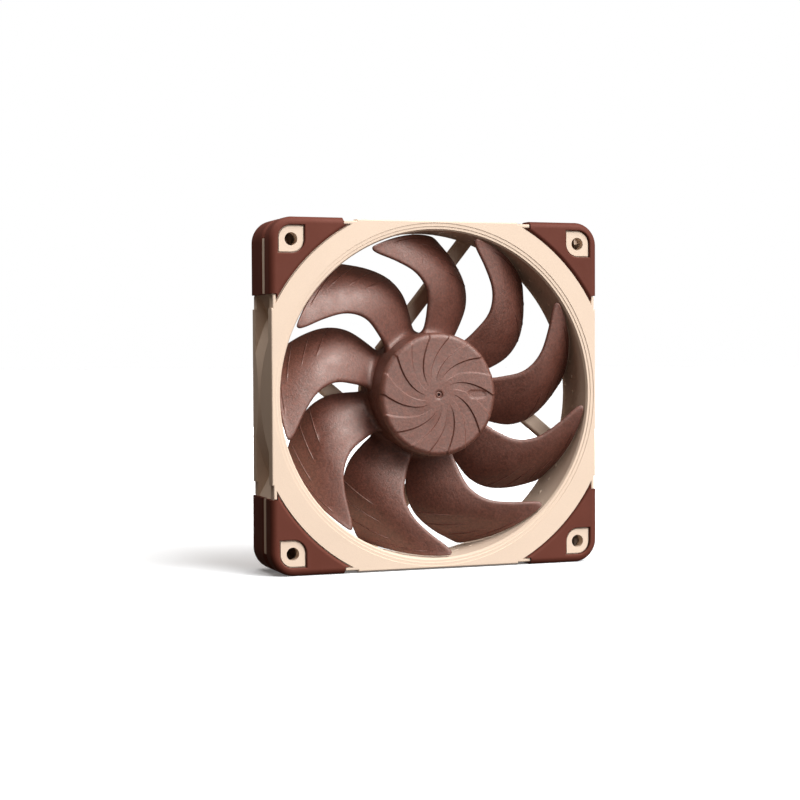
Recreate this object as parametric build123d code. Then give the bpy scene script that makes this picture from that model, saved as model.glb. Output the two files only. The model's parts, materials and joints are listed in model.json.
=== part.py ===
from build123d import *
import math
import os

# A 120 mm case fan. It is drawn lying on its back: the rotor turns about Z, the intake face
# looks along +Z and the origin is at the middle of the fan. stand_up() then turns each piece so
# that the intake looks along -Y and the fan stands on one edge with +Z up. Millimetres, degrees.

# Frame
SIDE = 120.0                # across the corner pads
DEPTH = 25.0                # over the faces of the corner pads
HOLE_SPACING = 105.0        # between the mounting holes, both ways
HOLE_DIAMETER = 4.4
PAD_PROUD = 0.5             # how far the pads stand out of the frame, on every side
FRAME_DEPTH = DEPTH - 2 * PAD_PROUD
FLANGE = 3.8                # thickness of the front and rear flanges
FULL_SIDE = 59.0            # length of the middle of each side, which reaches furthest out
RELIEF = 0.5                # the side steps in by this much next to the pads
BORE_RADIUS = 56.3
OUTLET_RADIUS = 58.2        # the bore opens to this at the rear face
OUTLET_DEPTH = 4.0
INLET_STEPS = [(58.9, 0.2), (57.7, 0.42)]   # radius and depth of each step of the inlet
INLET_DEPTH = 1.3           # the lip rolls into the bore this far below the face
INLET_EDGE = 0.09           # rounding of each step
OUTLINE_EDGE = 0.45         # rounding of the flanges' outer edges
WAIST_RADIUS = 59.0         # outside of the duct at its narrowest
WAIST_HEIGHT = -4.0
DUCT_FRONT_RADIUS = 62.4
DUCT_REAR_RADIUS = 61.2
CORNER_INNER = (54.0, 26.0)  # each hollow corner starts behind this point of the duct
CORNER_WALL = 1.9
CORNER_WINDOW = 5.0         # opening round each hollow corner, half hidden by the pads
WINDOW_START = 53.0
RIB_DROP = 0.3              # the rib between the pads stays this far below their sides
RIB_CLEARANCE = 0.2

# Corner pads
PAD_RADIUS = 8.0            # round the outside corner
PAD_THICKNESS = 1.5
PAD_START = 34.3            # each skirt runs from here to the corner
PAD_TIP = 57.6              # the thin tips of the face plate stay inside this
PAD_ARC = 66.1              # the inner edge of the face plate follows the duct
FRONT_SKIRT_END = 4.8       # the skirts of the front pads reach back to this height
REAR_SKIRT_END = 1.8        # and those of the rear pads come forward to this one
SEAT_CLEARANCE = 0.35
EYE_HALF = 4.2              # frame boss showing through the pad round each hole
EYE_DROP = 0.7              # below the face of the pad
EYE_CLEARANCE = 0.45
RIM_EDGE = 2.2              # rounding between the face and the sides
ARC_EDGE = 1.1
SKIRT_EDGE = 1.2
EYE_EDGE = 0.4

# Rotor
BLADES = 9
BLADE_START = 20.0          # angle of the first blade's root
BLADE_THICKNESS = 1.5
BLADE_CAMBER = 0.16         # control point of each section, over its chord
BLADE_TIP_RADIUS = 55.7
TRAILING_HEIGHT = -6.7
# radius, angle of the trailing edge, angle and height of the leading edge
BLADE_STATIONS = [
    (19.0, -1.5, 34.5, -0.6),
    (28.0, -0.8, 32.2, 2.9),
    (36.0, 1.8, 33.1, 5.5),
    (42.0, 6.8, 38.4, 7.1),
    (48.0, 14.6, 47.4, 8.7),
    (52.0, 20.4, 53.1, 9.8),
    (57.0, 27.0, 57.5, 10.9),
]
CHORD_POINTS = 7
HUB_RADIUS = 21.3
HUB_FRONT = 12.0
HUB_REAR = -7.5
HUB_WALL = 1.7
HUB_PLATE = 2.0
HUB_EDGE = 2.0
SWIRL_DEPTH = 0.3
SWIRL_TWIST = 41.0          # angle that each swirl line turns between rim and centre
SWIRL_INNER = 5.0
SWIRL_OUTER = 19.0
GATE_RADIUS = 1.3

# Motor, from the rotor inwards
YOKE_WALL = 0.8
YOKE_REAR = -6.3
MAGNET_WALL = 2.4
MAGNET_FRONT = 7.0
MAGNET_REAR = -5.5
AIR_GAP = 0.6
SHAFT_RADIUS = 1.5
SHAFT_REAR = -8.9
BUSH_RADIUS = 3.0
BUSH_REAR = 7.6
SLEEVE_CLEARANCE = 0.02
SLEEVE_FRONT = 5.5
SLEEVE_REAR = -7.5
TUBE_BORE = 3.5
TUBE_RADIUS = 4.5
TUBE_FRONT = 6.8
TUBE_REAR = -11.2
SEAL_THICKNESS = 0.6
CLIP_FRONT = -7.9
CLIP_THICKNESS = 0.4
CLIP_GROOVE = 0.3
CLIP_RADIUS = 2.7
THRUST_FRONT = -9.0
THRUST_THICKNESS = 0.4
LIFT_MAGNET_THICKNESS = 0.8

# Stator
CORE_FRONT = 4.5
CORE_REAR = -2.5
CORE_RING = 6.5
POLES = 4
ARM_WIDTH = 4.0
SHOE_THICKNESS = 2.3
SHOE_ANGLE = 76.0
INSULATOR = 0.8
INSULATOR_LIP = 1.4
COIL_START = 7.0
COIL_END = 12.4
COIL_THICKNESS = 1.8
LUG_END = 9.2
PIN_CIRCLE = 8.0
PIN_RADIUS = 0.35

# Circuit board and motor base
BOARD_FRONT = -5.6
BOARD_THICKNESS = 1.2
BOARD_RADIUS = 15.6
CHIP = (5.0, 4.0, 1.3)
HALL_SENSOR = (3.0, 2.0, 1.0)
CAPACITOR = (2.4, 1.4, 1.3)
BASE_RADIUS = 21.6
BASE_FRONT = -8.3
BASE_WALL = 1.6
BASE_FLOOR = 1.6
BASE_SOCKET = 6.5
LABEL_RADIUS = 19.8
LABEL_THICKNESS = 0.2
CABLE_NOTCH = (4.6, 2.0)    # width and height of the way out for the cable

# Struts from the motor base to the duct
STRUT_ANGLES = [51.0, -39.0, 141.0, 231.0]
STRUT_OFFSET = 19.6         # each strut's centre line passes the axis at this distance
STRUT_WIDTH = 5.2
STRUT_DEPTH = 3.5
STRUT_EDGE = 1.1
STRUT_START = 3.0
STRUT_END = 56.0
CABLE_STRUT = -39.0

FRONT = FRAME_DEPTH / 2
FRAME_HALF = SIDE / 2 - PAD_PROUD
SEAT_HALF = SIDE / 2 - PAD_THICKNESS
SEAT_FRONT = DEPTH / 2 - PAD_THICKNESS
BOARD_REAR = BOARD_FRONT - BOARD_THICKNESS
YOKE_RADIUS = HUB_RADIUS - HUB_WALL
YOKE_FRONT = HUB_FRONT - HUB_PLATE
MAGNET_RADIUS = YOKE_RADIUS - YOKE_WALL
CORE_RADIUS = MAGNET_RADIUS - MAGNET_WALL - AIR_GAP
SKIRT_CORNER = SIDE - PAD_RADIUS * (2 - math.sqrt(2)) - PAD_THICKNESS / 2
PAD_CORNERS = {"top_right": 0, "top_left": 90, "bottom_left": 180, "bottom_right": 270}


def stand_up(piece):
    return Rot(90, 0, 0) * piece


def ring(outer, inner, front, rear):
    """Tube about the rotor axis between two heights."""
    section = Circle(outer) - Circle(inner)
    return extrude(Plane.XY.offset(rear) * section, front - rear)


def disc(radius, front, rear):
    return extrude(Plane.XY.offset(rear) * Circle(radius), front - rear)


def polar_point(radius, angle, height):
    turn = math.radians(angle)
    return Vector(radius * math.cos(turn), radius * math.sin(turn), height)


def corner_square(low, high):
    """Square in the top right corner, from low to high both ways."""
    middle = (low + high) / 2
    return Pos(middle, middle) * Rectangle(high - low, high - low)


def eye_outline(half):
    """Square round a mounting hole with the corners on the frame's diagonal fully rounded."""
    square = Rectangle(2 * half, 2 * half)
    diagonal = [corner for corner in square.vertices() if corner.X * corner.Y > 0]
    centre = HOLE_SPACING / 2
    return Pos(centre, centre) * fillet(diagonal, half * 0.98)


# Frame -----------------------------------------------------------------------------------

def frame_outline():
    corner_radius = PAD_RADIUS - PAD_THICKNESS
    outline = RectangleRounded(2 * SEAT_HALF, 2 * SEAT_HALF, corner_radius)
    for length, half in ((2 * PAD_START, FRAME_HALF - RELIEF), (FULL_SIDE, FRAME_HALF)):
        outline += Rectangle(2 * half, length)
        outline += Rectangle(length, 2 * half)
    return outline


def pad_seat_outline():
    """Where the face of the frame is let in for the pad of the top right corner."""
    tip = PAD_TIP + SEAT_CLEARANCE
    seat = corner_square(0, tip)
    seat += corner_square(PAD_START - SEAT_CLEARANCE, SIDE / 2)
    seat -= Circle(PAD_ARC - SEAT_CLEARANCE)
    return seat - eye_outline(EYE_HALF)


def duct_wall():
    """Outer shape of the duct between the flanges, narrowest behind the middle."""
    flange_rear = FRONT - FLANGE
    profile = Polyline(
        (BORE_RADIUS - 1, flange_rear),
        (DUCT_FRONT_RADIUS, flange_rear),
        (WAIST_RADIUS, WAIST_HEIGHT),
        (DUCT_REAR_RADIUS, -flange_rear),
        (BORE_RADIUS - 1, -flange_rear),
        close=True,
    )
    return revolve(Plane.XZ * make_face(profile), Axis.Z)


def corner_block():
    """Hollow corner between the flanges, with a window round the outside."""
    height = FRAME_DEPTH - 2 * FLANGE
    far, near = CORNER_INNER
    outline = make_face(Polyline(
        (SEAT_HALF, PAD_START),
        (far, near),
        (near, far),
        (PAD_START, SEAT_HALF),
        (SIDE / 2, SIDE / 2),
        close=True,
    ))
    block = extrude(outline, height / 2, both=True)
    hollow = corner_square(PAD_START + 2, SEAT_HALF - CORNER_WALL)
    hollow -= Circle(DUCT_FRONT_RADIUS + 1.0)
    block -= extrude(hollow, height / 2, both=True)
    window = corner_square(WINDOW_START, SIDE / 2)
    level = (FRONT_SKIRT_END + REAR_SKIRT_END) / 2
    return block - Pos(0, 0, level) * extrude(window, CORNER_WINDOW / 2, both=True)


def corner_rib():
    """Rib on the two sides of a corner, in the gap between the pads, up to the window."""
    half = SIDE / 2 - RIB_DROP
    outline = corner_square(PAD_START + RIB_CLEARANCE, SIDE / 2)
    outline &= RectangleRounded(2 * half, 2 * half, PAD_RADIUS - RIB_DROP)
    outline -= Rectangle(2 * SEAT_HALF - 1, 2 * SEAT_HALF - 1)
    outline -= corner_square(WINDOW_START, SIDE / 2)
    height = FRONT_SKIRT_END - REAR_SKIRT_END - 2 * RIB_CLEARANCE
    return extrude(Plane.XY.offset(REAR_SKIRT_END + RIB_CLEARANCE) * outline, height)


def bore():
    """Air passage: stepped inlet, straight bore, and an outlet that opens out."""
    points = [(0, FRONT + 1), (INLET_STEPS[0][0], FRONT + 1)]
    previous = None
    for radius, depth in INLET_STEPS:
        if previous is not None:
            points.append((radius, previous))
        points.append((radius, FRONT - depth))
        previous = FRONT - depth
    points.append((BORE_RADIUS + 0.5, previous))
    points.append((BORE_RADIUS, FRONT - INLET_DEPTH))
    points.append((BORE_RADIUS, -FRONT + OUTLET_DEPTH))
    points.append((OUTLET_RADIUS, -FRONT))
    points.append((OUTLET_RADIUS, -FRONT - 1))
    points.append((0, -FRONT - 1))
    profile = make_face(Polyline(*points, close=True))
    steps = [corner for corner in profile.vertices()
             if corner.X > BORE_RADIUS - 0.1 and 5 < corner.Y < FRONT + 0.5]
    profile = fillet(steps, INLET_EDGE)
    return revolve(Plane.XZ * profile, Axis.Z)


def strut(angle):
    """Bar from the edge of the motor base to the duct, tangential to the base."""
    section = RectangleRounded(STRUT_DEPTH, STRUT_WIDTH, STRUT_EDGE)
    length = STRUT_END - STRUT_START
    bar = extrude(Plane.YZ * Rot(0, 0, 90) * section, length)
    place = Pos(STRUT_START, STRUT_OFFSET, -FRONT + STRUT_DEPTH / 2)
    return Rot(0, 0, angle) * place * bar


def motor_base():
    base = disc(BASE_RADIUS, BASE_FRONT, -FRONT)
    base = fillet(base.edges().sort_by(Axis.Z)[0], 0.8)
    base -= disc(BASE_RADIUS - BASE_WALL, BASE_FRONT, -FRONT + BASE_FLOOR)
    base += disc(BASE_SOCKET, BOARD_REAR, -FRONT)
    return base


def cable_way():
    """Notch in the wall of the base and groove along one strut, where the cable lies."""
    width, height = CABLE_NOTCH
    notch = Box(12.0, width - 2.0, 2 * height, align=(Align.MIN, Align.CENTER, Align.CENTER))
    place = Pos(STRUT_START + 3, STRUT_OFFSET - 1.2, BASE_FRONT)
    return Rot(0, 0, CABLE_STRUT) * place * notch


def flange():
    """Front flange, with its outer edges rounded."""
    plate = extrude(Plane.XY.offset(FRONT - FLANGE) * frame_outline(), FLANGE)
    return fillet(plate.edges().group_by(Axis.Z)[-1], OUTLINE_EDGE)


def frame_housing():
    body = flange()
    body += mirror(flange(), Plane.XY)
    between = duct_wall()
    for turn in PAD_CORNERS.values():
        between += Rot(0, 0, turn) * corner_block()
    body += between & extrude(frame_outline(), FRONT, both=True)
    for turn in PAD_CORNERS.values():
        body += Rot(0, 0, turn) * corner_rib()
    body -= bore()

    arms = motor_base()
    for angle in STRUT_ANGLES:
        arms += strut(angle)
    body += arms
    body -= disc(TUBE_RADIUS, BOARD_REAR, TUBE_REAR)
    body -= disc(LABEL_RADIUS + 0.1, -FRONT + LABEL_THICKNESS, -FRONT)
    body -= cable_way()

    seat = extrude(Plane.XY.offset(SEAT_FRONT) * pad_seat_outline(), 2)
    rim = extrude(Plane.XY.offset(DEPTH / 2 - EYE_DROP) * eye_outline(EYE_HALF), 2)
    seats = seat + rim
    seats += mirror(seats, Plane.XY)
    hole_place = HOLE_SPACING / 2
    seats += Pos(hole_place, hole_place) * Cylinder(HOLE_DIAMETER / 2, DEPTH)
    for turn in PAD_CORNERS.values():
        body -= Rot(0, 0, turn) * seats
    return body


# Corner pads -----------------------------------------------------------------------------

def corner_pad(skirt_end):
    """Pad on the front of the top right corner: a face plate, and a skirt on two sides."""
    whole = RectangleRounded(SIDE, SIDE, PAD_RADIUS)
    plate = corner_square(0, PAD_TIP) + (corner_square(PAD_START, SIDE / 2) & whole)
    plate -= Circle(PAD_ARC)
    plate -= eye_outline(EYE_HALF + EYE_CLEARANCE)
    pad = extrude(Plane.XY.offset(SEAT_FRONT) * plate, PAD_THICKNESS)

    seat = RectangleRounded(2 * SEAT_HALF, 2 * SEAT_HALF, PAD_RADIUS - PAD_THICKNESS)
    skirt = (corner_square(PAD_START, SIDE / 2) & whole) - seat
    pad += extrude(Plane.XY.offset(skirt_end) * skirt, DEPTH / 2 - skirt_end)
    pad = round_edges(pad, -1, is_outer_rim, RIM_EDGE)
    pad = round_edges(pad, -1, is_inner_arc, ARC_EDGE)
    pad = round_edges(pad, -1, is_eye_rim, EYE_EDGE)
    return round_edges(pad, 0, is_skirt_rim, SKIRT_EDGE)


def round_edges(pad, level, wanted, radius):
    """Round the pad's edges that pass the test, on its front face (-1) or its skirt's end (0)."""
    edges = [edge for edge in pad.edges().group_by(Axis.Z)[level] if wanted(edge)]
    return fillet(edges, radius)


def is_outer_rim(edge):
    middle = edge @ 0.5
    on_corner = min(middle.X, middle.Y) > PAD_TIP - 1
    return max(middle.X, middle.Y) > SIDE / 2 - 0.01 or on_corner


def is_skirt_rim(edge):
    middle = edge @ 0.5
    along_side = max(middle.X, middle.Y) > SIDE / 2 - 0.01
    at_corner = min(middle.X, middle.Y) > PAD_TIP - PAD_THICKNESS
    return along_side or (at_corner and middle.X + middle.Y > SKIRT_CORNER)


def is_inner_arc(edge):
    return edge.geom_type == GeomType.CIRCLE and edge.length > PAD_START


def is_eye_rim(edge):
    middle = edge @ 0.5
    reach = EYE_HALF + EYE_CLEARANCE + 0.1
    off_x = abs(middle.X - HOLE_SPACING / 2)
    off_y = abs(middle.Y - HOLE_SPACING / 2)
    return max(off_x, off_y) < reach


# Rotor -----------------------------------------------------------------------------------

def blade_section(station):
    """Points along one section, from the trailing edge to the leading edge."""
    radius, trail_angle, lead_angle, lead_height = station
    chord_angle = lead_angle - trail_angle
    run = radius * math.radians(chord_angle)
    rise = lead_height - TRAILING_HEIGHT
    bulge_run = run / 2 - BLADE_CAMBER * rise
    bulge_rise = rise / 2 + BLADE_CAMBER * run
    points = []
    for step in range(CHORD_POINTS):
        share = step / (CHORD_POINTS - 1)
        along = 2 * share * (1 - share) * bulge_run + share ** 2 * run
        height = 2 * share * (1 - share) * bulge_rise + share ** 2 * rise
        angle = trail_angle + math.degrees(along / radius)
        points.append(polar_point(radius, angle, TRAILING_HEIGHT + height))
    return points


def blade():
    rows = [blade_section(station) for station in BLADE_STATIONS]
    surface = Face.make_surface_from_array_of_points(rows)
    sheet = Solid.thicken(surface, BLADE_THICKNESS / 2)
    sheet += Solid.thicken(surface, -BLADE_THICKNESS / 2)
    swept = ring(BLADE_TIP_RADIUS, HUB_RADIUS - HUB_WALL / 2, FRONT, TRAILING_HEIGHT - 0.3)
    return sheet & swept


def swirl_recess(first_angle, width):
    """Shallow wedge in the hub face whose two sides curl in towards the centre."""
    edges = []
    for start in (first_angle, first_angle + width):
        line = []
        for step in range(5):
            share = step / 4
            radius = SWIRL_OUTER + share * (SWIRL_INNER - SWIRL_OUTER)
            line.append(polar_point(radius, start + SWIRL_TWIST * share, 0))
        edges.append(Spline(*line))
    outer = ThreePointArc(edges[0] @ 0, polar_point(SWIRL_OUTER, first_angle + width / 2, 0),
                          edges[1] @ 0)
    inner = Line(edges[0] @ 1, edges[1] @ 1)
    wedge = make_face([edges[0], edges[1], outer, inner])
    return extrude(Plane.XY.offset(HUB_FRONT - SWIRL_DEPTH) * wedge, 1)


def impeller():
    """Hub cup and nine blades, moulded in one piece."""
    hub = disc(HUB_RADIUS, HUB_FRONT, HUB_REAR)
    hub = fillet(hub.edges().sort_by(Axis.Z)[-1], HUB_EDGE)
    hub -= disc(YOKE_RADIUS, YOKE_FRONT, HUB_REAR)
    pitch = 360 / BLADES
    for number in range(BLADES):
        hub -= swirl_recess(BLADE_START - 1 + number * pitch, pitch / 2)
    hub -= disc(GATE_RADIUS, HUB_FRONT, HUB_FRONT - 0.4)
    one_blade = blade()
    for number in range(BLADES):
        hub += Rot(0, 0, BLADE_START + number * pitch) * one_blade
    return hub


def rotor_yoke():
    """Steel cup that closes the magnetic circuit."""
    cup = disc(YOKE_RADIUS, YOKE_FRONT, YOKE_REAR)
    cup -= disc(MAGNET_RADIUS, YOKE_FRONT - YOKE_WALL, YOKE_REAR)
    return cup - disc(BUSH_RADIUS, YOKE_FRONT, YOKE_REAR)


def rotor_magnet():
    return ring(MAGNET_RADIUS, MAGNET_RADIUS - MAGNET_WALL, MAGNET_FRONT, MAGNET_REAR)


def rotor_shaft():
    shaft = disc(SHAFT_RADIUS, YOKE_FRONT, SHAFT_REAR)
    shaft = chamfer(shaft.edges().sort_by(Axis.Z)[0], 0.3)
    groove = ring(SHAFT_RADIUS + 1, SHAFT_RADIUS - CLIP_GROOVE, CLIP_FRONT,
                  CLIP_FRONT - CLIP_THICKNESS)
    return shaft - groove


def shaft_bush():
    return ring(BUSH_RADIUS, SHAFT_RADIUS, YOKE_FRONT, BUSH_REAR)


def shaft_clip():
    """Snap ring in the shaft's groove, open on one side."""
    clip = ring(CLIP_RADIUS, SHAFT_RADIUS - CLIP_GROOVE, CLIP_FRONT,
                CLIP_FRONT - CLIP_THICKNESS)
    opening = Box(CLIP_RADIUS, 0.9, 4, align=(Align.MIN, Align.CENTER, Align.CENTER))
    return clip - Pos(0.9, 0, CLIP_FRONT) * opening


# Bearing ---------------------------------------------------------------------------------

def bearing_tube():
    return ring(TUBE_RADIUS, TUBE_BORE, TUBE_FRONT, TUBE_REAR)


def bearing_sleeve():
    sleeve = disc(TUBE_BORE, SLEEVE_FRONT, SLEEVE_REAR)
    sleeve = chamfer(sleeve.edges(), 0.3)
    return sleeve - disc(SHAFT_RADIUS + SLEEVE_CLEARANCE, SLEEVE_FRONT, SLEEVE_REAR)


def oil_seal():
    return ring(TUBE_BORE, SHAFT_RADIUS + 0.08, SLEEVE_FRONT + SEAL_THICKNESS, SLEEVE_FRONT)


def thrust_washer():
    return disc(TUBE_BORE, THRUST_FRONT, THRUST_FRONT - THRUST_THICKNESS)


def lift_magnet():
    front = THRUST_FRONT - THRUST_THICKNESS
    return disc(TUBE_BORE, front, front - LIFT_MAGNET_THICKNESS)


def tube_end_cap():
    front = THRUST_FRONT - THRUST_THICKNESS - LIFT_MAGNET_THICKNESS
    return disc(TUBE_BORE, front, TUBE_REAR)


# Stator ----------------------------------------------------------------------------------

def arm_outline(end):
    """Centre ring and one arm for each pole."""
    outline = Circle(CORE_RING)
    for pole in range(POLES):
        arm = Pos(end / 2, 0) * Rectangle(end, ARM_WIDTH)
        outline += Rot(0, 0, pole * 360 / POLES) * arm
    return outline - Circle(TUBE_RADIUS)


def shoe_outline():
    shoe = Circle(CORE_RADIUS) - Circle(CORE_RADIUS - SHOE_THICKNESS)
    reach = CORE_RADIUS * 2
    half = math.radians(SHOE_ANGLE / 2)
    side = reach * math.sin(half)
    wedge = make_face(Polyline((0, 0), (reach, -side), (reach, side), close=True))
    return shoe & wedge


def stator_core():
    outline = arm_outline(CORE_RADIUS - SHOE_THICKNESS / 2)
    for pole in range(POLES):
        outline += Rot(0, 0, pole * 360 / POLES) * shoe_outline()
    return extrude(Plane.XY.offset(CORE_REAR) * outline, CORE_FRONT - CORE_REAR)


def insulator_lip(face, direction):
    """Low wall at the end of each arm that holds the winding in."""
    lips = Sketch()
    for pole in range(POLES):
        lip = Pos(COIL_END + 0.5, 0) * Rectangle(1.0, ARM_WIDTH)
        lips += Rot(0, 0, pole * 360 / POLES) * lip
    return extrude(Plane.XY.offset(face) * lips, direction * INSULATOR_LIP)


def insulator_front():
    plate = arm_outline(COIL_END + 1.0)
    body = extrude(Plane.XY.offset(CORE_FRONT) * plate, INSULATOR)
    return body + insulator_lip(CORE_FRONT + INSULATOR, 1)


def pin_places():
    step = 360 / POLES
    return [step / 2 + step * pole for pole in range(POLES)]


def insulator_rear():
    plate = arm_outline(COIL_END + 1.0)
    for angle in pin_places():
        lug = Pos((LUG_END + CORE_RING) / 2, 0) * Rectangle(LUG_END - CORE_RING + 1, 2.4)
        plate += Rot(0, 0, angle) * lug
    body = extrude(Plane.XY.offset(CORE_REAR) * plate, -INSULATOR)
    body += insulator_lip(CORE_REAR - INSULATOR, -1)
    return body - winding_pins()


def winding_pins():
    pins = []
    length = CORE_REAR - BOARD_REAR + 0.8
    for angle in pin_places():
        pin = Pos(PIN_CIRCLE, 0, CORE_REAR - length / 2) * Cylinder(PIN_RADIUS, length)
        pins.append(Rot(0, 0, angle) * pin)
    return Compound([solid for pin in pins for solid in pin.solids()])


def coil(number):
    """Winding round one arm, over both insulators."""
    height = CORE_FRONT - CORE_REAR + 2 * INSULATOR
    middle = (CORE_FRONT + CORE_REAR) / 2
    outer = RectangleRounded(ARM_WIDTH + 2 * COIL_THICKNESS, height + 2 * COIL_THICKNESS, 1.6)
    section = outer - Rectangle(ARM_WIDTH, height)
    winding = extrude(Plane.YZ * section, COIL_END - COIL_START)
    turn = (number - 1) * 360 / POLES
    return Rot(0, 0, turn) * Pos(COIL_START, 0, middle) * winding


# Circuit board ---------------------------------------------------------------------------

def circuit_board():
    board = ring(BOARD_RADIUS, TUBE_RADIUS, BOARD_FRONT, BOARD_REAR)
    return board - winding_pins()


def chip_on_rear(size, x, y):
    long_side, short_side, height = size
    return Pos(x, y, BOARD_REAR - height / 2) * Box(long_side, short_side, height)


def driver_chip():
    return chip_on_rear(CHIP, -10.5, 0)


def capacitors():
    pair = [chip_on_rear(CAPACITOR, 0, side * 11.0) for side in (-1, 1)]
    return Compound([solid for item in pair for solid in item.solids()])


def hall_sensor():
    long_side, short_side, height = HALL_SENSOR
    body = Box(short_side, long_side, height)
    return Rot(0, 0, 45) * Pos(12.6, 0, BOARD_FRONT + height / 2) * body


def rear_label():
    return disc(LABEL_RADIUS, -FRONT + LABEL_THICKNESS, -FRONT)


# Assembly --------------------------------------------------------------------------------

def make_pieces():
    pieces = {"frame_housing": frame_housing()}
    front_pad = corner_pad(FRONT_SKIRT_END)
    rear_pad = mirror(corner_pad(-REAR_SKIRT_END), Plane.XY)
    for place, turn in PAD_CORNERS.items():
        pieces["front_pad_" + place] = Rot(0, 0, turn) * front_pad
        pieces["rear_pad_" + place] = Rot(0, 0, turn) * rear_pad
    pieces["impeller"] = impeller()
    pieces["rotor_yoke"] = rotor_yoke()
    pieces["rotor_magnet"] = rotor_magnet()
    pieces["rotor_shaft"] = rotor_shaft()
    pieces["shaft_bush"] = shaft_bush()
    pieces["shaft_clip"] = shaft_clip()
    pieces["bearing_tube"] = bearing_tube()
    pieces["bearing_sleeve"] = bearing_sleeve()
    pieces["oil_seal"] = oil_seal()
    pieces["thrust_washer"] = thrust_washer()
    pieces["lift_magnet"] = lift_magnet()
    pieces["tube_end_cap"] = tube_end_cap()
    pieces["stator_core"] = stator_core()
    pieces["insulator_front"] = insulator_front()
    pieces["insulator_rear"] = insulator_rear()
    for number in range(1, POLES + 1):
        pieces["coil_" + str(number)] = coil(number)
    pieces["winding_pins"] = winding_pins()
    pieces["circuit_board"] = circuit_board()
    pieces["driver_chip"] = driver_chip()
    pieces["hall_sensor"] = hall_sensor()
    pieces["capacitors"] = capacitors()
    pieces["rear_label"] = rear_label()
    return pieces


os.makedirs("parts", exist_ok=True)
for name, piece in make_pieces().items():
    export_step(stand_up(piece), "parts/" + name + ".step")
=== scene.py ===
import json
import math

import bmesh
import bpy
import numpy as np
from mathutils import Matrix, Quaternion, Vector


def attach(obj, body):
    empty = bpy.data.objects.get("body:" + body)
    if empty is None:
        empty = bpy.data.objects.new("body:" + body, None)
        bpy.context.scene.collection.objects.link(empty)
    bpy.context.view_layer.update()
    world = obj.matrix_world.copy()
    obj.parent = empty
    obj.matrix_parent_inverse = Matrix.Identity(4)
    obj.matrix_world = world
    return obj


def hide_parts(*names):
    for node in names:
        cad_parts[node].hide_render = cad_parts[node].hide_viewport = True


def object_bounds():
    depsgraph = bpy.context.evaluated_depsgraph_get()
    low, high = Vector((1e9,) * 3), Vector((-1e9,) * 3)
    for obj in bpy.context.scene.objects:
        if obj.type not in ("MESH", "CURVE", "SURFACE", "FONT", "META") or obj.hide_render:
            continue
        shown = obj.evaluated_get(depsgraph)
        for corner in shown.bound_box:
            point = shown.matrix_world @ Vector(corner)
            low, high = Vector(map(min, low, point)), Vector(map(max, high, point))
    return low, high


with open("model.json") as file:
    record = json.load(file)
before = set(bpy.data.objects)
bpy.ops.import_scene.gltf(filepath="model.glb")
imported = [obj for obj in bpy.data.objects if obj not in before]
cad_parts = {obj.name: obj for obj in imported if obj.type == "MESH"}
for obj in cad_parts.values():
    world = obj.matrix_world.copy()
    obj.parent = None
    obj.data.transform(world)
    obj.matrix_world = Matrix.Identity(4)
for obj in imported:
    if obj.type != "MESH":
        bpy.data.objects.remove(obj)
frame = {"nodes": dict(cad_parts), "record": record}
cad_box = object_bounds()

# A 120 mm case fan on a pale studio floor. Shapes are worked out in millimetres, with the rotor
# axis along Y and the intake towards -Y, and scaled to metres when a mesh is made.

MM = 0.001
SMOOTH_ANGLE = 35.0         # edges that turn by more than this stay sharp

# Impeller
BLADES = 9
BLADE_START = 20.0          # angle of the first blade's root, degrees
HUB_RADIUS = 21.3
HUB_FRONT = 12.0
HUB_REAR = -7.5
HUB_EDGE = 2.0
HUB_BORE = 19.62
HUB_INSIDE = 10.02
HUB_FACE_START = 2.2
HUB_FACE_ROWS = 42
HUB_EDGE_STEPS = 12
HUB_SIDE_ROWS = 12
TRAILING_HEIGHT = -6.7
BLADE_CAMBER = 0.16
BLADE_TIP_RADIUS = 55.7
# radius, angle of the trailing edge, angle and height of the leading edge
BLADE_STATIONS = np.array([
    (19.0, -1.5, 34.5, -0.6),
    (28.0, -0.8, 32.2, 2.9),
    (36.0, 1.8, 33.1, 5.5),
    (42.0, 6.8, 38.4, 7.1),
    (48.0, 14.6, 47.4, 8.7),
    (52.0, 20.4, 53.1, 9.8),
    (57.0, 27.0, 57.5, 10.9),
])
HALF_THICKNESS = (1.0, 0.68)        # at the root and at the tip
EDGE_ROUND = (0.7, 1.4)             # length of the rounding at the trailing and leading edge
CORNER_ROUND = (1.2, 2.2)           # radius of the tip's trailing and leading corner
TIP_ROUND = 0.45
ROOT_FLARE = (1.5, 0.8)             # growth of the blade at the hub, and how far out it fades
# Flow lines on the front of each blade: radius at the trailing edge, how far the line moves out
# over the whole chord, and the shares of the chord where it starts and ends
FLOW_LINES = ((41.5, 3.6, 0.0, 0.49), (46.0, 3.8, 0.0, 0.47), (50.6, 3.6, 0.0, 0.47),
              (53.8, 0.8, 0.22, 0.76))
LINE_HALF = 0.27                    # half the width
LINE_HEIGHT = 0.30
LINE_FADES = (0.05, 0.08)           # share of the chord over which a line starts and ends
LINE_AREA_START = 34.0              # inside this radius the mesh doesn't follow the lines
LINE_AREA_END = 0.55                # and past this share of the chord it runs on round the axis

# Rows and columns of a blade's mesh
CHORD_STEPS = 40
ROOT_ROWS = 11
MIDDLE_ROWS = 34
LINE_ROWS = (-1, -0.67, -0.33, 0, 0.33, 0.67, 1)            # in half widths from a flow line
TIP_ROWS = (1.2, 0.9, 0.6, 0.4, 0.25, 0.12, 0.04, 0.0)      # distance from the tip

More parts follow.
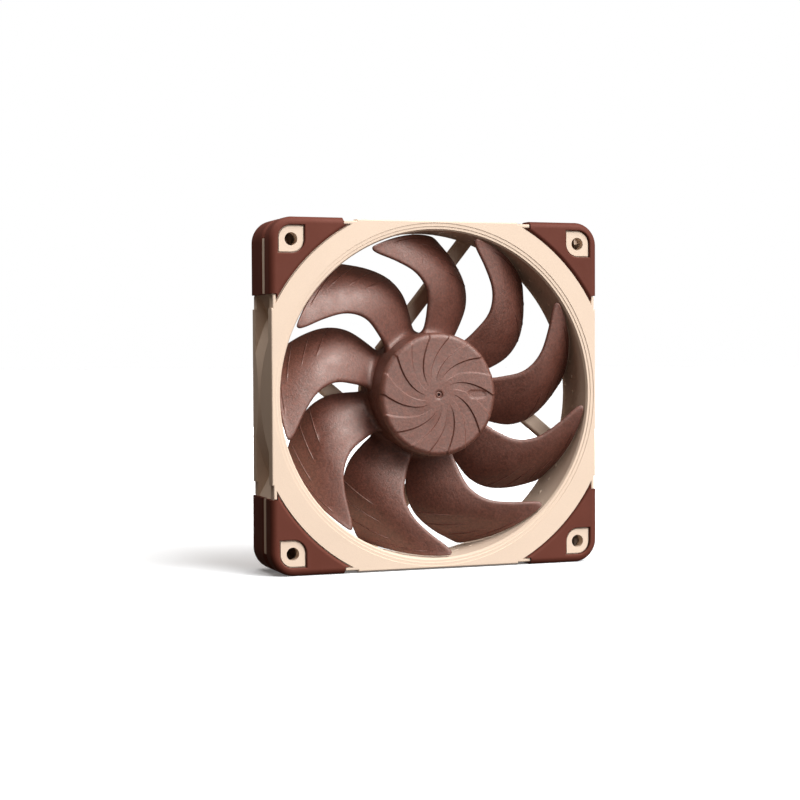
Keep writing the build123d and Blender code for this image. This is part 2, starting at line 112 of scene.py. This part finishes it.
# Swirl on the hub: recesses with curved sides, each half a blade's pitch wide
SWIRL_START = 19.0                  # angle of the first recess at the rim
SWIRL_DEPTH = 0.42
SWIRL_FADE = (4.0, 12.0)            # radius where the recess starts and where it has full depth
SWIRL_SLOPE = ((-1.0, 0.0), (-0.55, 0.12), (0.0, 0.5), (0.55, 0.88), (1.0, 1.0))
SWIRL_TURN = (20.0, 1.9, 0.06)      # twists inside this radius, by degrees per mm and per mm2
SWIRL_FLAT = (1.6, 11)              # degrees from the slope to the next column, and columns
GATE_PROFILE = ((0.45, 0.9), (0.5, 0.35), (0.7, 0.28), (0.95, 0.36), (1.1, 0.4), (1.3, 0.1),
                (1.45, 0.0))        # radius, and depth below the hub's face
SLOT_MARK = (14.2, 0.0, 6.6, 2.8)   # centre and size of the small mark on the hub
SLOT_DEPTH = 0.24
SLOT_EDGE = (-0.20, 0.12)           # its wall slopes between these distances from the outline

# Rear label
LABEL_RADIUS = 19.8
LABEL_RINGS = (3.4, 3.8, 13.2, 13.4, 18.2, 18.9)    # where the printed rings start and end

# Small raised marks on the inside of the duct
DUCT_RADIUS = 56.3
MARK_ROWS = ((0.0, 0.0), (-6.0, 0.5))       # height, and shift along the row in marks
MARKS_PER_ROW = 64
MARK_SIZE = (0.80, 0.32, 0.20)              # half length, half width, height
MARK_STEPS = 16
# share of the mark's size, and share of its height
MARK_PROFILE = ((1.0, -0.06), (0.9, 0.35), (0.7, 0.7), (0.4, 0.94), (0.02, 1.0))


# Small helpers ---------------------------------------------------------------------------

def smooth_step(value, low, high):
    """0 below low, 1 above high, and a smooth rise between them."""
    share = np.clip((value - low) / (high - low), 0.0, 1.0)
    return share * share * (3 - 2 * share)


def smooth_curve(x, xs, ys):
    """Cubic curve through the points (xs, ys), at x."""
    slopes = np.gradient(ys, xs)
    k = int(np.clip(np.searchsorted(xs, x) - 1, 0, len(xs) - 2))
    span = xs[k + 1] - xs[k]
    s = (x - xs[k]) / span
    return ((2 * s**3 - 3 * s**2 + 1) * ys[k] + (s**3 - 2 * s**2 + s) * span * slopes[k]
            + (3 * s**2 - 2 * s**3) * ys[k + 1] + (s**3 - s**2) * span * slopes[k + 1])


def place(radius, angle, height):
    """Point in the row frame from radius, angle from +X towards +Z, and height to the front."""
    turn = math.radians(angle)
    return Vector((radius * math.cos(turn), -height, radius * math.sin(turn))) * MM


def make_object(name, bm, material):
    """Object from a finished mesh, smooth but for its sharp edges."""
    bmesh.ops.recalc_face_normals(bm, faces=bm.faces)
    for face in bm.faces:
        face.smooth = True
    limit = math.radians(SMOOTH_ANGLE)
    for edge in bm.edges:
        edge.smooth = len(edge.link_faces) == 2 and edge.calc_face_angle(0.0) < limit
    mesh = bpy.data.meshes.new(name)
    bm.to_mesh(mesh)
    bm.free()
    piece = bpy.data.objects.new(name, mesh)
    bpy.context.collection.objects.link(piece)
    mesh.materials.append(material)
    return piece


def join_rows(bm, rows):
    """Faces between each closed row of points and the next."""
    for row_a, row_b in zip(rows, rows[1:]):
        for i in range(len(row_a)):
            j = (i + 1) % len(row_a)
            bm.faces.new([row_a[i], row_a[j], row_b[j], row_b[i]])


# Materials -------------------------------------------------------------------------------

class Nodes:
    """A new material with its Principled shader and short calls for the usual nodes."""

    def __init__(self, name):
        self.material = bpy.data.materials.new(name)
        self.material.use_nodes = True
        self.tree = self.material.node_tree
        self.shader = self.tree.nodes["Principled BSDF"]
        self.place = self.tree.nodes.new("ShaderNodeTexCoord").outputs["Object"]

    def add(self, kind, **values):
        node = self.tree.nodes.new(kind)
        for key, value in values.items():
            node.inputs[key.replace("_", " ")].default_value = value
        return node

    def link(self, source, target):
        self.tree.links.new(source, target)

    def noise(self, scale, detail=4.0, roughness=0.55):
        node = self.add("ShaderNodeTexNoise", Scale=scale, Detail=detail, Roughness=roughness)
        self.link(self.place, node.inputs["Vector"])
        return node.outputs["Fac"]

    def spread(self, source, low, high, source_low=0.3, source_high=0.7):
        node = self.add("ShaderNodeMapRange")
        node.inputs["From Min"].default_value = source_low
        node.inputs["From Max"].default_value = source_high
        node.inputs["To Min"].default_value = low
        node.inputs["To Max"].default_value = high
        self.link(source, node.inputs["Value"])
        return node.outputs["Result"]

    def mix(self, share, first, second):
        node = self.tree.nodes.new("ShaderNodeMix")
        node.data_type = "RGBA"
        for socket, value in ((node.inputs[6], first), (node.inputs[7], second)):
            if isinstance(value, tuple):
                socket.default_value = (*value, 1.0)
            else:
                self.link(value, socket)
        self.link(share, node.inputs[0])
        return node.outputs[2]

    def bump(self, source, distance, strength=1.0, below=None):
        node = self.add("ShaderNodeBump", Distance=distance, Strength=strength)
        self.link(source, node.inputs["Height"])
        if below is not None:
            self.link(below, node.inputs["Normal"])
        return node.outputs["Normal"]

    def set(self, **values):
        for key, value in values.items():
            self.shader.inputs[key.replace("_", " ")].default_value = value

    def feed(self, colour=None, roughness=None, normal=None):
        for socket, source in (("Base Color", colour), ("Roughness", roughness),
                               ("Normal", normal)):
            if source is not None:
                self.link(source, self.shader.inputs[socket])


def darker(colour, share):
    return tuple(channel * share for channel in colour)


def moulded(name, colour, shade, roughness, grain, cloud_scale=55.0, **shader):
    """Moulded plastic or rubber: faint clouding, a fine spark-eroded grain and uneven gloss."""
    nodes = Nodes(name)
    clouds = nodes.noise(cloud_scale, 5.0)
    specks = nodes.noise(2600.0, 3.0, 0.6)
    base = nodes.mix(nodes.spread(clouds, 0.0, 1.0), darker(colour, shade), colour)
    tinted = nodes.mix(nodes.spread(specks, 0.0, 0.16), base, darker(colour, 0.6))
    gloss = nodes.spread(nodes.noise(140.0, 4.0), roughness[0], roughness[1])
    coarse = nodes.bump(nodes.noise(420.0, 3.0), grain * 0.9, 0.35)
    fine = nodes.bump(specks, grain, 0.6, below=coarse)
    nodes.feed(tinted, gloss, fine)
    nodes.set(**shader)
    return nodes.material


def leathery(name, colour, roughness, **shader):
    """Dark fibre-filled plastic: mottled colour, fine wrinkles and patches of different gloss."""
    nodes = Nodes(name)
    patches = nodes.noise(230.0, 5.0, 0.6)
    wrinkles = nodes.noise(1150.0, 5.0, 0.7)
    base = nodes.mix(nodes.spread(patches, 0.0, 1.0), darker(colour, 0.78), darker(colour, 1.1))
    tinted = nodes.mix(nodes.spread(wrinkles, 0.0, 0.8, 0.42, 0.6), base, darker(colour, 1.7))
    gloss = nodes.spread(patches, roughness[0], roughness[1])
    coarse = nodes.bump(patches, 0.00022, 0.5)
    nodes.feed(tinted, gloss, nodes.bump(wrinkles, 0.00013, 0.9, below=coarse))
    nodes.set(**shader)
    return nodes.material


def printed_label(name, paper, ink):
    """Finely mottled label with printed rings round its centre."""
    nodes = Nodes(name)
    flat = nodes.add("ShaderNodeVectorMath")
    flat.operation = "MULTIPLY"
    flat.inputs[1].default_value = (1.0, 0.0, 1.0)
    nodes.link(nodes.place, flat.inputs[0])
    length = nodes.add("ShaderNodeVectorMath")
    length.operation = "LENGTH"
    nodes.link(flat.outputs[0], length.inputs[0])
    rings = nodes.tree.nodes.new("ShaderNodeValToRGB")
    rings.color_ramp.interpolation = "CONSTANT"
    for step, radius in enumerate(LABEL_RINGS):
        stop = rings.color_ramp.elements.new(radius / LABEL_RADIUS)
        value = 1.0 if step % 2 == 0 else 0.0
        stop.color = (value, value, value, 1.0)
    rings.color_ramp.elements[0].color = (0.0, 0.0, 0.0, 1.0)
    rings.color_ramp.elements[-1].color = (0.0, 0.0, 0.0, 1.0)
    nodes.link(nodes.spread(length.outputs["Value"], 0.0, 1.0, 0.0, LABEL_RADIUS * MM),
               rings.inputs["Fac"])
    fibres = nodes.noise(900.0, 5.0, 0.7)
    field = nodes.mix(nodes.spread(fibres, 0.0, 1.0), darker(paper, 0.8), paper)
    tint = nodes.mix(rings.outputs["Color"], field, ink)
    gloss = nodes.spread(nodes.noise(120.0), 0.34, 0.48)
    nodes.feed(tint, gloss, nodes.bump(fibres, 0.00001, 0.5))
    return nodes.material


def metal(name, colour, roughness, brushed=True):
    """Bare metal with fine drawn lines and patches of different gloss."""
    nodes = Nodes(name)
    stretch = nodes.add("ShaderNodeMapping")
    stretch.inputs["Scale"].default_value = (1.0, 14.0, 1.0) if brushed else (1.0, 1.0, 1.0)
    nodes.link(nodes.place, stretch.inputs["Vector"])
    lines = nodes.add("ShaderNodeTexNoise", Scale=900.0, Detail=3.0, Roughness=0.6)
    nodes.link(stretch.outputs["Vector"], lines.inputs["Vector"])
    tint = nodes.mix(nodes.spread(nodes.noise(160.0), 0.0, 1.0), darker(colour, 0.82), colour)
    gloss = nodes.spread(lines.outputs["Fac"], roughness[0], roughness[1])
    nodes.feed(tint, gloss, nodes.bump(lines.outputs["Fac"], 0.00002, 0.5))
    nodes.set(Metallic=1.0)
    return nodes.material


def windings(name):
    """Enamelled copper wire, laid side by side."""
    nodes = Nodes(name)
    wave = nodes.add("ShaderNodeTexWave", Scale=1100.0, Distortion=0.6, Detail=1.0)
    wave.bands_direction = "DIAGONAL"
    nodes.link(nodes.place, wave.inputs["Vector"])
    tint = nodes.mix(wave.outputs["Fac"], (0.20, 0.055, 0.02), (0.62, 0.24, 0.09))
    gloss = nodes.spread(nodes.noise(300.0), 0.22, 0.38)
    nodes.feed(tint, gloss, nodes.bump(wave.outputs["Fac"], 0.0002, 0.8))
    nodes.set(Metallic=0.85, Coat_Weight=0.4, Coat_Roughness=0.15)
    return nodes.material


def make_materials():
    return {
        "frame_plastic": moulded("frame_plastic", (0.72, 0.572, 0.448), 0.96, (0.50, 0.62),
                                 0.00003, Specular_IOR_Level=0.35),
        "impeller_plastic": leathery("impeller_plastic", (0.094, 0.029, 0.0185), (0.42, 0.58),
                                     Specular_IOR_Level=1.0,
                                     Specular_Tint=(1.0, 0.86, 0.80, 1.0)),
        "pad_rubber": moulded("pad_rubber", (0.114, 0.031, 0.020), 0.85, (0.55, 0.70),
                              0.00004, Specular_IOR_Level=0.3,
                              Specular_Tint=(1.0, 0.6, 0.52, 1.0)),
        "steel": metal("steel", (0.55, 0.55, 0.57), (0.22, 0.40)),
        "ferrite": moulded("ferrite", (0.045, 0.042, 0.042), 0.8, (0.5, 0.7), 0.00004),
        "brass": metal("brass", (0.78, 0.56, 0.25), (0.18, 0.34)),
        "sintered_bronze": metal("sintered_bronze", (0.50, 0.31, 0.16), (0.35, 0.6), False),
        "black_rubber": moulded("black_rubber", (0.02, 0.02, 0.02), 0.8, (0.6, 0.8), 0.00003),
        "white_plastic": moulded("white_plastic", (0.80, 0.79, 0.75), 0.95, (0.3, 0.45),
                                 0.00001),
        "nickel": metal("nickel", (0.70, 0.67, 0.62), (0.12, 0.25), False),
        "insulator_plastic": moulded("insulator_plastic", (0.74, 0.72, 0.65), 0.93,
                                     (0.4, 0.55), 0.00002),
        "copper": windings("copper"),
        "tin": metal("tin", (0.74, 0.74, 0.73), (0.2, 0.35), False),
        "board": moulded("board", (0.012, 0.10, 0.04), 0.7, (0.2, 0.35), 0.00001,
                         Coat_Weight=0.4),
        "black_plastic": moulded("black_plastic", (0.018, 0.018, 0.018), 0.8, (0.4, 0.55),
                                 0.00002),
        "capacitor_ceramic": moulded("capacitor_ceramic", (0.30, 0.19, 0.11), 0.85,
                                     (0.3, 0.5), 0.00001),
        "label_paper": printed_label("label_paper", (0.075, 0.028, 0.019),
                                     (0.55, 0.40, 0.29)),
    }


# Impeller --------------------------------------------------------------------------------

def corner_pull(radius, corner):
    """How far a tip corner of that radius draws the edge back at this radius."""
    inside = radius - (BLADE_TIP_RADIUS - corner)
    if inside <= 0:
        return 0.0
    return corner - math.sqrt(max(corner**2 - inside**2, 0.0))


def line_shift(row, s):
    """How far a row of the mesh moves outwards at share s of the chord, to follow the lines."""
    starts = [LINE_AREA_START] + [line[0] for line in FLOW_LINES] + [BLADE_TIP_RADIUS]
    slopes = [0.0] + [line[1] for line in FLOW_LINES] + [0.0]
    return float(np.interp(row, starts, slopes)) * min(s, LINE_AREA_END)


def line_height(row, s):
    """Share of a flow line's height at this row of the mesh and share of the chord."""
    fade_in, fade_out = LINE_FADES
    for start, _, first, last in FLOW_LINES:
        near = abs(row - start)
        if near < LINE_HALF:
            across = 0.5 + 0.5 * math.cos(math.pi * near / LINE_HALF)
            begun = smooth_step(s, first, first + fade_in)
            ended = smooth_step(s, last - fade_out, last)
            return across * float(begun * (1 - ended))
    return 0.0


def blade_point(row, s, side):
    """Radius, angle and height of a point on the front (1) or back (-1) of the blade."""
    radius = row + line_shift(row, s)
    stations = BLADE_STATIONS.T
    trail, lead, rise = [smooth_curve(radius, stations[0], values) for values in stations[1:]]
    growth, reach = ROOT_FLARE
    flare = growth * math.exp(-max(radius - HUB_RADIUS, 0.0) / reach)
    trail += math.degrees((corner_pull(radius, CORNER_ROUND[0]) - flare) / radius)
    lead -= math.degrees((corner_pull(radius, CORNER_ROUND[1]) - flare) / radius)
    run = radius * math.radians(lead - trail)
    rise -= TRAILING_HEIGHT
    bulge = (run / 2 - BLADE_CAMBER * rise, rise / 2 + BLADE_CAMBER * run)

    share = max((radius - HUB_RADIUS) / (BLADE_TIP_RADIUS - HUB_RADIUS), 0.0)
    thick = HALF_THICKNESS[0] + (HALF_THICKNESS[1] - HALF_THICKNESS[0]) * share + flare
    into_tip = max(radius - BLADE_TIP_RADIUS + TIP_ROUND, 0.0)
    thick -= TIP_ROUND - math.sqrt(max(TIP_ROUND**2 - into_tip**2, 0.0))
    chord = math.hypot(run, rise)
    for gap, length in ((s * chord, EDGE_ROUND[0]), ((1 - s) * chord, EDGE_ROUND[1])):
        if gap < length:
            thick *= math.sqrt(max(1 - (1 - gap / length)**2, 0.0))
    if side > 0:
        thick += LINE_HEIGHT * line_height(row, s)
    along = 2 * s * (1 - s) * bulge[0] + s * s * run
    height = 2 * s * (1 - s) * bulge[1] + s * s * rise
    slope = Vector((2 * (1 - 2 * s) * bulge[0] + 2 * s * run,
                    2 * (1 - 2 * s) * bulge[1] + 2 * s * rise)).normalized()
    angle = trail + math.degrees((along - side * slope.y * thick) / radius)
    return radius, angle, TRAILING_HEIGHT + height + side * slope.x * thick


def blade_rows():
    """Distances from the axis at which the mesh of a blade has its rows."""
    rows = list(np.linspace(HUB_RADIUS - 0.9, HUB_RADIUS + 3.0, ROOT_ROWS))
    rows += list(np.linspace(HUB_RADIUS + 4.0, BLADE_TIP_RADIUS - 1.4, MIDDLE_ROWS))
    for start, *_ in FLOW_LINES:
        rows = [row for row in rows if abs(row - start) > LINE_HALF + 0.12]
        rows += [start + LINE_HALF * part for part in LINE_ROWS]
    rows += [BLADE_TIP_RADIUS - gap for gap in TIP_ROWS]
    return sorted(rows)


def blade_shape():
    """Rows of points round the blade, each row front side first."""
    shares = [0.5 - 0.5 * math.cos(math.pi * step / CHORD_STEPS)
              for step in range(CHORD_STEPS + 1)]
    shape = []
    for row in blade_rows():
        front = [blade_point(row, s, 1) for s in shares]
        back = [blade_point(row, s, -1) for s in shares[-2:0:-1]]
        shape.append(front + back)
    return shape


def add_blade(bm, shape, first_angle):
    """One blade, closed at its root and tip."""
    rows = []
    for loop in shape:
        rows.append([bm.verts.new(place(radius, first_angle + angle, height))
                     for radius, angle, height in loop])
    join_rows(bm, rows)
    for row in (rows[0], rows[-1]):
        bm.faces.new([row[0], row[1], row[-1]])
        for i in range(1, CHORD_STEPS):
            corners = [row[i], row[i + 1], row[-i - 1], row[-i]]
            bm.faces.new(list(dict.fromkeys(corners)))


def swirl_twist(radius):
    """Angle that the swirl lines have turned at this radius, counted from the rim."""
    start, turn, growth = SWIRL_TURN
    inward = max(start - radius, 0.0)
    return turn * inward + growth * inward**2


def hub_profile():
    """Radius, height, and share of the swirl's depth, from the gate to the inside of the hub."""
    points = [(radius, HUB_FRONT - depth, 0) for radius, depth in GATE_PROFILE]
    for radius in np.linspace(HUB_FACE_START, HUB_RADIUS - HUB_EDGE, HUB_FACE_ROWS):
        points.append((radius, HUB_FRONT, float(smooth_step(radius, *SWIRL_FADE))))
    for step in range(1, HUB_EDGE_STEPS + 1):
        turn = math.radians(90 * step / HUB_EDGE_STEPS)
        points.append((HUB_RADIUS - HUB_EDGE + HUB_EDGE * math.sin(turn),
                       HUB_FRONT - HUB_EDGE + HUB_EDGE * math.cos(turn),
                       math.sqrt(math.cos(turn))))
    side = np.linspace(HUB_FRONT - HUB_EDGE - 0.6, HUB_REAR + 0.4, HUB_SIDE_ROWS)
    points += [(HUB_RADIUS, height, 0) for height in side]
    points += [(HUB_RADIUS - 0.12, HUB_REAR + 0.12, 0), (HUB_RADIUS - 0.4, HUB_REAR, 0),
               (HUB_BORE + 0.28, HUB_REAR, 0), (HUB_BORE, HUB_REAR + 0.3, 0),
               (HUB_BORE, HUB_INSIDE, 0), (GATE_PROFILE[0][0], HUB_INSIDE, 0)]
    return points


def hub_angles():
    """Angles round the rim with a close pair at each side of each recess, and its depth."""
    pitch = 360.0 / BLADES
    gap, columns = SWIRL_FLAT
    angles = []
    for number in range(BLADES):
        start = SWIRL_START + number * pitch
        middle = start + pitch / 2
        for edge, rising in ((start, True), (middle, False)):
            for offset, share in SWIRL_SLOPE:
                angles.append((edge + offset, share if rising else 1 - share))
            inner = 1.0 if rising else 0.0
            flat = np.linspace(gap, pitch / 2 - gap, columns)
            angles += [(edge + offset, inner) for offset in flat]
    return sorted(angles)


def slot_mark_depth(point):
    """Small rounded slot mark, moulded into the hub's face."""
    x, z, length, width = SLOT_MARK
    across = abs(point.z / MM - z)
    reach = abs(point.x / MM - x) - (length - width) / 2
    gap = math.hypot(max(reach, 0.0), across) - width / 2
    return SLOT_DEPTH * (1 - float(smooth_step(gap, *SLOT_EDGE)))


def add_hub(bm):
    """The hub with its swirl and marks, open at the rear."""
    rim = hub_angles()
    rows = []
    for radius, height, share in hub_profile():
        row = []
        for angle, recess in rim:
            turned = angle + swirl_twist(radius)
            point = place(radius, turned, height - SWIRL_DEPTH * share * recess)
            if height == HUB_FRONT:
                point.y += slot_mark_depth(point) * MM
            row.append(bm.verts.new(point))
        rows.append(row)
    join_rows(bm, rows + rows[:1])


def make_impeller(material):
    """Hub and blades, in place of the plain impeller."""
    bm = bmesh.new()
    add_hub(bm)
    shape = blade_shape()
    for number in range(BLADES):
        add_blade(bm, shape, BLADE_START + number * 360.0 / BLADES)
    bmesh.ops.remove_doubles(bm, verts=bm.verts, dist=1e-7)
    piece = make_object("moulded_impeller", bm, material)
    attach(piece, "rotor")
    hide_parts("impeller")


# Duct ------------------------------------------------------------------------------------

def make_duct_marks(material):
    """Rows of low oval bumps on the inner wall of the duct."""
    half_length, half_width, rise = MARK_SIZE
    bm = bmesh.new()
    for level, shift in MARK_ROWS:
        for number in range(MARKS_PER_ROW):
            middle = 360.0 * (number + shift) / MARKS_PER_ROW
            rows = []
            for share, lift in MARK_PROFILE:
                row = []
                for step in range(MARK_STEPS):
                    turn = math.tau * step / MARK_STEPS
                    along = half_length * share * math.cos(turn)
                    across = half_width * share * math.sin(turn)
                    angle = middle + math.degrees(along / DUCT_RADIUS)
                    row.append(bm.verts.new(place(DUCT_RADIUS - rise * lift, angle,
                                                  level + across)))
                rows.append(row)
            join_rows(bm, rows)
            bm.faces.new(rows[0])
            bm.faces.new(rows[-1])
    piece = make_object("duct_wall_marks", bm, material)
    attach(piece, "frame")


# Studio ----------------------------------------------------------------------------------

CAMERA_YAW = -19.99
CAMERA_PITCH = 1.731
CAMERA_ROLL = -0.2505
CAMERA_DISTANCE = 0.59283
CAMERA_TARGET = Vector((-0.009953, 0.0, -0.00196))
CAMERA_LENS = 76.712
AMBIENT = (0.03, 0.26)      # at its weakest and strongest
AMBIENT_FROM = (60.0, 55.0)     # azimuth and elevation where it is strongest
AMBIENT_TINT = (1.0, 0.78, 0.65, 1.0)
KEY_AZIMUTH = 38.0
KEY_ELEVATION = 48.0
KEY_SPREAD = 45.0
KEY_STRENGTH = 4.1
FRONT_FILL = (27.0, 13.0, 1.2, 1.4, 14.0)       # azimuth, elevation, distance, size, power
SIDE_FILL = (-82.0, 62.0, 0.24, 0.12, 0.22)
BACK_FILL = (148.0, 5.0, 1.0, 0.8, 9.0)
FLOOR_GLOW = 0.12           # keeps the shadow on the floor as pale as a white table's
FLOOR_TINTS = ((0.85, 0.88, 0.90), (0.88, 0.91, 0.93))
FLOOR_RINGS = (0.0001, 0.6, 1.6, 6.0)       # metres
FLOOR_SIDES = 64


def add_camera():
    """Camera in front of the fan, to its left and a little above its middle."""
    yaw, pitch = math.radians(CAMERA_YAW), math.radians(CAMERA_PITCH)
    back = Vector((math.sin(yaw) * math.cos(pitch), -math.cos(yaw) * math.cos(pitch),
                   math.sin(pitch)))
    camera = bpy.data.objects.new("camera", bpy.data.cameras.new("camera"))
    bpy.context.collection.objects.link(camera)
    camera.data.sensor_width = 36.0
    camera.data.lens = CAMERA_LENS
    camera.data.clip_start = 0.01
    camera.data.clip_end = 20.0
    camera.location = CAMERA_TARGET + back * CAMERA_DISTANCE
    camera.rotation_mode = "QUATERNION"
    roll = Quaternion((0, 0, 1), math.radians(CAMERA_ROLL))
    camera.rotation_quaternion = (-back).to_track_quat("-Z", "Y") @ roll
    bpy.context.scene.camera = camera


def direction(azimuth, elevation):
    """Towards a light. Azimuth 0 is in front of the fan and 90 is to its right."""
    turn, rise = math.radians(azimuth), math.radians(elevation)
    return Vector((math.sin(turn) * math.cos(rise), -math.cos(turn) * math.cos(rise),
                   math.sin(rise)))


def add_sun(name, azimuth, elevation, spread, strength):
    """Soft distant light."""
    light = bpy.data.objects.new(name, bpy.data.lights.new(name, "SUN"))
    light.data.energy = strength
    light.data.angle = math.radians(spread)
    light.rotation_mode = "QUATERNION"
    light.rotation_quaternion = (-direction(azimuth, elevation)).to_track_quat("-Z", "Y")
    bpy.context.collection.objects.link(light)


def add_softbox(name, azimuth, elevation, distance, size, power):
    """Square lamp that looks at the middle of the fan."""
    light = bpy.data.objects.new(name, bpy.data.lights.new(name, "AREA"))
    light.data.size = size
    light.data.energy = power
    light.location = direction(azimuth, elevation) * distance
    light.rotation_mode = "QUATERNION"
    light.rotation_quaternion = (-light.location).to_track_quat("-Z", "Y")
    bpy.context.collection.objects.link(light)
    return light


def add_world():
    """White backdrop, and ambient light that is stronger from above on the right."""
    world = bpy.data.worlds.new("studio")
    bpy.context.scene.world = world
    world.use_nodes = True
    tree = world.node_tree
    place = tree.nodes.new("ShaderNodeTexCoord")
    above = tree.nodes.new("ShaderNodeVectorMath")
    above.operation = "DOT_PRODUCT"
    above.inputs[1].default_value = direction(*AMBIENT_FROM)
    level = tree.nodes.new("ShaderNodeMapRange")
    level.inputs["From Min"].default_value = -1.0
    level.inputs["To Min"].default_value = AMBIENT[0]
    level.inputs["To Max"].default_value = AMBIENT[1]
    ambient = tree.nodes["Background"]
    ambient.inputs["Color"].default_value = AMBIENT_TINT
    backdrop = tree.nodes.new("ShaderNodeBackground")
    backdrop.inputs["Color"].default_value = (1.0, 1.0, 1.0, 1.0)
    seen = tree.nodes.new("ShaderNodeLightPath")
    choice = tree.nodes.new("ShaderNodeMixShader")
    tree.links.new(place.outputs["Generated"], above.inputs[0])
    tree.links.new(above.outputs["Value"], level.inputs["Value"])
    tree.links.new(level.outputs["Result"], ambient.inputs["Strength"])
    tree.links.new(seen.outputs["Is Camera Ray"], choice.inputs["Fac"])
    tree.links.new(ambient.outputs["Background"], choice.inputs[1])
    tree.links.new(backdrop.outputs["Background"], choice.inputs[2])
    tree.links.new(choice.outputs["Shader"], tree.nodes["World Output"].inputs["Surface"])


def add_studio(ground):
    """Pale floor at the height of the fan's lower edge, and soft light."""
    nodes = Nodes("studio_floor")
    tint = nodes.mix(nodes.spread(nodes.noise(3.0), 0.0, 1.0), *FLOOR_TINTS)
    nodes.feed(tint, nodes.spread(nodes.noise(40.0), 0.7, 0.8))
    nodes.set(Specular_IOR_Level=0.1, Emission_Color=(1.0, 1.0, 1.0, 1.0),
              Emission_Strength=FLOOR_GLOW)
    bm = bmesh.new()
    turns = [math.tau * i / FLOOR_SIDES for i in range(FLOOR_SIDES)]
    rows = []
    for radius in FLOOR_RINGS:
        rows.append([bm.verts.new((radius * math.cos(turn), radius * math.sin(turn), ground))
                     for turn in turns])
    join_rows(bm, rows)
    floor = make_object("studio_floor", bm, nodes.material)
    floor.visible_diffuse = False
    floor.visible_glossy = False

    add_world()
    add_sun("key", KEY_AZIMUTH, KEY_ELEVATION, KEY_SPREAD, KEY_STRENGTH)
    add_softbox("front_fill", *FRONT_FILL)
    add_softbox("side_fill", *SIDE_FILL)
    back_fill = add_softbox("back_fill", *BACK_FILL)
    back_fill.visible_glossy = False        # no glare on the edges that face away from it
    bpy.context.scene.view_settings.view_transform = "Standard"


# Assembly --------------------------------------------------------------------------------

def corners(box):
    """Lowest and highest corner as plain lists."""
    return [list(box[0]), list(box[1])]


materials = make_materials()
for entry in frame["record"]["subparts"]:
    node = frame["nodes"][entry["node"]]
    node.data.materials.clear()
    node.data.materials.append(materials[entry["material_slot"]])
make_impeller(materials["impeller_plastic"])
make_duct_marks(materials["frame_plastic"])
add_camera()
add_studio(cad_box[0].z)
